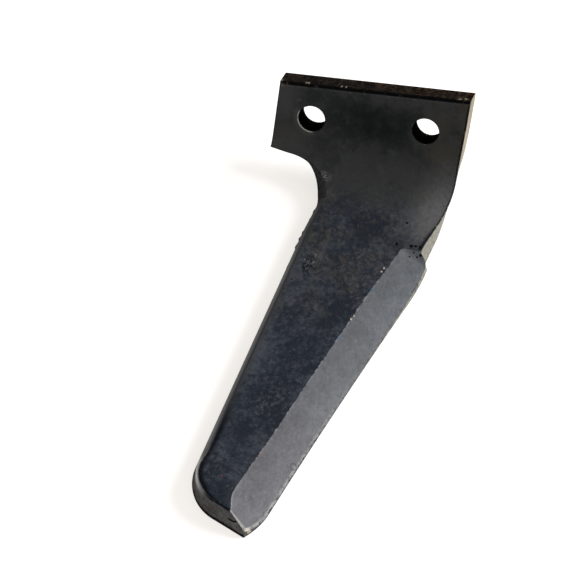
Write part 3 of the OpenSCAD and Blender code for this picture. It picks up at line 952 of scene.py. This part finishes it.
# the forged skin of both faces, with the bevel, the worn crease and the marks of handling
def forgedSkin():
    on = startSteel("forged_skin", ("broad", "middle", "close", "grain"), knownNames)
    on.darkMiddle = spots(on.place, (2, -2, 40, 20, 0.9), (22, -8, 20, 14, 0.9))
    on.ragged = plus(on.cut, swing(on.close, 0.9), swing(on.grain, 0.35))
    on.bevel = span(on.ragged, 0.04, 0.26)
    on.torn = swing(noise(on.place, 1.0, 4.0, 0.7), 3.4)
    colour = blend(span(plus(on.v, times(on.middle, 26)), 44, 74), plateSkin(on), bladeSkin(on))
    colour = blend(on.bevel, sheenAndHandling(on, colour), bareBevel(on))
    for worn in (creaseWear, pitted, struck, holeRims, skinEdges):
        colour = worn(on, colour)
    rough = plus(0.40, times(on.close, 0.14), times(on.grain, 0.10), times(on.bevel, 0.10))
    relief = plus(times(on.middle, 0.22), times(on.close, 0.10), times(on.grain, 0.035),
                  times(on.holesIn, -0.28), times(on.strokes, -0.012), times(on.ring, -0.12),
                  times(on.dent, -0.2), times(on.chips, -0.10))
    # the dark edges and pits have no gloss
    dull = less(times(most(on.line, on.holesIn, on.leadLine, on.flare, on.endShade), 0.9))
    finishSteel(on.shader, colour, rough, relief, times(span(on.darkMiddle, 0.0, 1.0, 0.16, 0.07), dull))


# the leading wall: sheared and weathered on the plate and neck, its pale bare metal painted brighter as a
# painted reflection of the light, a thin worn land along the edge
def paleWall():
    on = startSteel("pale_wall", ("close",), ("lead",))
    place, v, z, close = on.place, on.v, on.z, on.close
    streak = noise(drawn(place, 0, 0.2, 0.05, 0.5), 1.6, 5.0, 0.65)
    long = noise(drawn(place, 0, 0.2, 0.03, 0.16), 1.3, 4.0, 0.6)
    # the cream is bare steel painted brighter, a painted reflection of the light on the wall
    cream = blend(span(streak, 0.38, 0.62), (0.16, 0.115, 0.06), (0.56, 0.49, 0.36))
    lower = blend(span(close, 0.38, 0.62), (0.20, 0.19, 0.16), (0.40, 0.38, 0.325))
    colour = blend(span(v, 24, 48), cream, lower)
    streaked = times(span(long, 0.50, 0.60), span(v, 60, 30, 0.25, 0.8))
    colour = blend(streaked, colour, (0.15, 0.095, 0.05))
    colour = blend(times(span(close, 0.57, 0.68), 0.8), colour, (0.07, 0.052, 0.038))
    land = blend(span(noise(place, 0.3, 4.0), 0.40, 0.62), (0.10, 0.095, 0.085), (0.42, 0.38, 0.29))
    colour = blend(span(v, 74, 80), colour, land)
    nose = blend(span(close, 0.4, 0.62), (0.022, 0.021, 0.020), (0.16, 0.145, 0.11))
    colour = blend(span(v, 232, 256), colour, nose)
    broken = times(spot(place, 0.9, 266.6, 1.5, 1.9, 0.5), span(z, 1.2, 2.2))
    colour = blend(times(broken, 0.9), colour, (0.78, 0.72, 0.60))
    frontLine = times(span(plus(on.lead, times(close, 1.6)), 2.1, 1.1), span(v, 76, 66, 0.55, 1.0))
    colour = blend(times(frontLine, 0.92), colour, (0.010, 0.009, 0.008))
    backLine = times(span(z, 1.4, 0.3), 0.5)
    colour = blend(backLine, colour, (0.05, 0.04, 0.028))
    # painted shade: the whole wall is darkened by a quarter to offset the light on it
    colour = node("VectorMath", {0: colour, "Scale": 0.74}, operation="SCALE")
    rough = plus(0.42, times(close, 0.3))
    relief = plus(times(streak, 0.12), times(close, 0.10))
    finishSteel(on.shader, colour, rough, relief, 0.2)


# the trailing wall and the end wall
def darkWall():
    on = startSteel("dark_wall", ("middle", "close", "grain"))
    place, x, v, z, middle, close = on.place, on.x, on.v, on.z, on.middle, on.close
    down = maths("SUBTRACT", t["thickness"], z)
    # the turned edge is painted paler the further it turns over, as rubbed bare metal and a painted
    # reflection of the floor; the wall below stays dark
    turned = span(maths("POWER", maths("MAXIMUM", down, 0.0), 0.5), 0.1, 1.15)
    turned = times(turned, span(v, 66, 112, 0.55, 1.0), span(close, 0.25, 0.5, 0.7, 1.0))
    turned = times(turned, span(plus(down, times(middle, 8)), 13, 6, 0.25, 1.0))
    rubbedAndReflected = blend(span(v, 200, 230), (0.205, 0.20, 0.19), (0.31, 0.30, 0.285))
    side = blend(turned, (0.024, 0.027, 0.033), rubbedAndReflected)
    inNeck = blend(span(close, 0.38, 0.62), (0.022, 0.023, 0.025), (0.052, 0.051, 0.050))
    side = blend(span(v, 64, 50), side, inNeck)

    # the end wall is greyer, with a pale patch painted as a reflection of the floor, a black brink and a
    # black foot
    mottle = span(plus(times(middle, 0.5), times(close, 0.5)), 0.38, 0.62)
    end = blend(mottle, (0.070, 0.067, 0.066), (0.150, 0.146, 0.142))
    # painted reflection: a pale patch where the end wall faces the floor
    pale = times(span(down, 0.0, 0.4), span(down, 7.0, 2.5), span(v, 230, 239), span(v, 257, 246))
    end = blend(pale, end, (0.62, 0.61, 0.59))
    colour = blend(span(v, 214, 244), side, end)
    dusty = times(span(close, 0.58, 0.70), span(v, 214, 240, 0.25, 0.5))
    colour = blend(dusty, colour, (0.13, 0.125, 0.115))
    brink = times(span(down, 1.8, 0.5), span(v, 224, 244), span(x, -31, -24, 0.15, 1.0))
    colour = blend(times(brink, 0.85), colour, (0.006, 0.007, 0.009))
    foot = times(span(plus(z, times(close, 1.4)), 3.4, 2.5), span(v, 214, 240, 0.25, 1.0))
    colour = blend(times(foot, 0.92), colour, (0.006, 0.0055, 0.005))

    # a lap of the forging, a dark crescent with a paler lip, rises as the square of the way past its middle
    hooked = maths("MULTIPLY", maths("POWER", maths("MAXIMUM", plus(x, 9.3), 0.0), 2.0), 0.33)
    above = plus(z, -8.0, times(hooked, -1.0))
    crescent = times(span(maths("ABSOLUTE", above), 1.1, 0.35), span(x, -14.0, -11.5), span(x, -4.6, -5.6))
    colour = blend(times(crescent, 0.95), colour, (0.003, 0.003, 0.003))
    lip = times(span(above, 0.8, 1.3), span(above, 2.4, 1.8), span(x, -11.0, -9.0), span(x, -6.0, -7.0))
    colour = blend(times(lip, 0.5), colour, (0.13, 0.125, 0.12))

    # the broken corner of the tip, and two specks of red
    chip = times(spot(place, -1.4, 266.6, 1.8, 2.2, 0.6), span(z, 1.2, 2.4), span(on.grain, 0.30, 0.5))
    colour = blend(times(chip, 0.95), colour, (0.80, 0.74, 0.62))
    red = spots(place, (-30.6, 258.6, 0.9, 0.9, 0.5, 2.6, 0.9), (-24.6, 260.3, 0.8, 0.8, 0.5, 7.0, 0.8))
    colour = blend(times(red, 0.7), colour, (0.25, 0.04, 0.03))
    rough = plus(0.44, times(close, 0.2))
    relief = plus(times(middle, 0.15), times(close, 0.16), times(on.grain, 0.04), times(crescent, -0.25))
    finishSteel(on.shader, colour, rough, relief, 0.0)


# the sheared top of the plate: dark brown scale with rust along its back edge
def topShear():
    on = startSteel("top_shear", ("close", "grain"))
    place, x, z, close, grain = on.place, on.x, on.z, on.close, on.grain
    down = noise(drawn(place, 0, 0.45, 0.1, 0.05), 1.0, 5.0, 0.65)
    scale = span(plus(times(down, 0.4), times(close, 0.6)), 0.42, 0.60)
    colour = blend(scale, (0.006, 0.0052, 0.0048), (0.018, 0.0145, 0.012))
    rust = times(span(close, 0.48, 0.62), span(x, -30, 30, 0.25, 1.0), span(z, 2, 7, 1.0, 0.25))
    colour = blend(times(rust, 0.7), colour, (0.080, 0.040, 0.014))
    pale = times(span(close, 0.60, 0.70), span(x, 20, 52, 0.25, 1.0))
    colour = blend(times(pale, 0.45), colour, (0.07, 0.062, 0.046))
    beads = spots(place, (-39.7, -17.3, 0.8, 9, 0.4), (-41.2, -17.0, 0.7, 9, 0.4),
                  (-56.2, -15.0, 0.8, 9, 0.4), (-19.7, -20.0, 0.6, 9, 0.4), (-16.9, -20.3, 0.5, 9, 0.4))
    beads = times(beads, span(z, 11.2, 13.6), span(grain, 0.3, 0.55))
    colour = blend(beads, colour, (0.34, 0.30, 0.22))
    scratch = times(spot(place, 53.2, -30, 4.2, 12, 0.7), span(z, 9.0, 12.0))
    scratch = times(scratch, span(noise(drawn(place, 0, 0.35, 0.1, 1.2), 1.0, 3.0), 0.52, 0.62))
    colour = blend(times(scratch, 0.85), colour, (0.46, 0.40, 0.26))
    front = span(plus(z, times(close, 1.6)), 14.0, 14.7)
    colour = blend(times(front, 0.9), colour, (0.003, 0.003, 0.003))
    edge = times(span(z, 2.6, 1.4), 0.6)
    colour = blend(edge, colour, (0.006, 0.004, 0.003))
    rough = plus(0.55, times(close, 0.25))
    relief = plus(times(down, 0.35), times(close, 0.18))
    finishSteel(on.shader, colour, rough, relief, 0.0)


# the walls of the bolt holes: nearly black, with a painted glint of light on the trailing side
def boreWall():
    on = startSteel("bore_wall", ("close",))
    place, close = on.place, on.close
    colour = blend(span(close, 0.4, 0.65), (0.0015, 0.0014, 0.0012), (0.006, 0.005, 0.004))
    for centre in holes:
        # painted glint: a pale patch standing in for light caught on the trailing side of each bore
        paintedBoreGlint = spot(place, centre[0] - 7.2, centre[1] - 4.2, 3.4, 3.0, 0.8)
        paintedBoreGlint = times(paintedBoreGlint, span(noise(drawn(place, 0, 0.9, 0.9, 0.16), 1.0, 3.0), 0.44, 0.62))
        colour = blend(times(paintedBoreGlint, 0.7), colour, (0.30, 0.26, 0.17))
    rough = plus(0.5, times(close, 0.2))
    finishSteel(on.shader, colour, rough, times(close, 0.2), 0.0)


forgedSkin()
paleWall()
darkWall()
topShear()
boreWall()
print("steel shaded")

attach(blade, "root")
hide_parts("tine")

# the plain studio, in metres and degrees, with the camera where the photograph was taken from
studio = {
    "floorSize": 4.0,       # half the side of the floor
    "floorGap": 0.0002,
    "floorColour": (0.9, 0.9, 0.9),
    "paperColour": (0.67, 0.675, 0.69),     # colour and glow of the floor as it is looked at
    "paperGlow": (0.640, 0.615, 0.577),
    "skyLight": 0.45,
    "skySeen": 1.0,
    "windowLight": 3.74,
    "windowSpread": 34,
    "windowWay": (0.71, 0.52, 0.474),       # points towards the light
    "sensorWidth": 36,
    "focalLength": 36 * 3200 / 580,         # 3200 pixels of a frame that is 580 wide
    "farEnd": 20,
    "cameraRight": (0.9572, 0.2863, -0.0468),
    "cameraUp": (-0.2350, 0.8604, 0.4521),
    "cameraPlace": (0.3025, -0.9156, 1.6676),
}


# 1 where the camera, a gloss or a clear material looks, 0 for the rays that only light the object
def looking():
    rays = ("Is Camera Ray", "Is Glossy Ray", "Is Transmission Ray")
    return most(*(node("LightPath", {}, out=ray) for ray in rays))


half = studio["floorSize"]
floorZ = cadBox[0][2] - studio["floorGap"]
floorMesh = bpy.data.meshes.new("floor")
floorCorners = [(x, y, floorZ) for x, y in ((-half, -half), (half, -half), (half, half), (-half, half))]
floorMesh.from_pydata(floorCorners, [], [(0, 1, 2, 3)])
floor = bpy.data.objects.new("floor", floorMesh)
scene.collection.objects.link(floor)
paper = bpy.data.materials.new("paper")
paper.use_nodes = True
floorMesh.materials.append(paper)
tree = paper.node_tree
direct = looking()
shader = tree.nodes["Principled BSDF"]
tree.links.new(blend(direct, studio["floorColour"], studio["paperColour"]), shader.inputs["Base Color"])
tree.links.new(blend(direct, (0.0, 0.0, 0.0), studio["paperGlow"]), shader.inputs["Emission Color"])
shader.inputs["Emission Strength"].default_value = 1.0
shader.inputs["Specular IOR Level"].default_value = 0.0

world = bpy.data.worlds.new("studio")
scene.world = world
world.use_nodes = True
tree = world.node_tree
sky = tree.nodes["Background"]
sky.inputs["Color"].default_value = (1, 1, 1, 1)
skyStrength = node("MapRange", {0: looking(), 3: studio["skyLight"], 4: studio["skySeen"]})
tree.links.new(skyStrength, sky.inputs["Strength"])

sunData = bpy.data.lights.new("window", "SUN")
sunData.energy = studio["windowLight"]
sunData.angle = rad(studio["windowSpread"])
sun = bpy.data.objects.new("window", sunData)
sun.rotation_euler = Vector(studio["windowWay"]).to_track_quat("Z", "Y").to_euler()
scene.collection.objects.link(sun)

cameraData = bpy.data.cameras.new("camera")
cameraData.sensor_width = studio["sensorWidth"]
cameraData.lens = studio["focalLength"]
cameraData.clip_end = studio["farEnd"]
camera = bpy.data.objects.new("camera", cameraData)
rightWay = Vector(studio["cameraRight"])
upWay = Vector(studio["cameraUp"])
cameraMatrix = Matrix((rightWay, upWay, rightWay.cross(upWay))).transposed().to_4x4()
cameraMatrix.translation = Vector(studio["cameraPlace"])
camera.matrix_world = cameraMatrix
scene.collection.objects.link(camera)
scene.camera = camera

scene.view_settings.view_transform = "Standard"
print("floor, light and camera set")
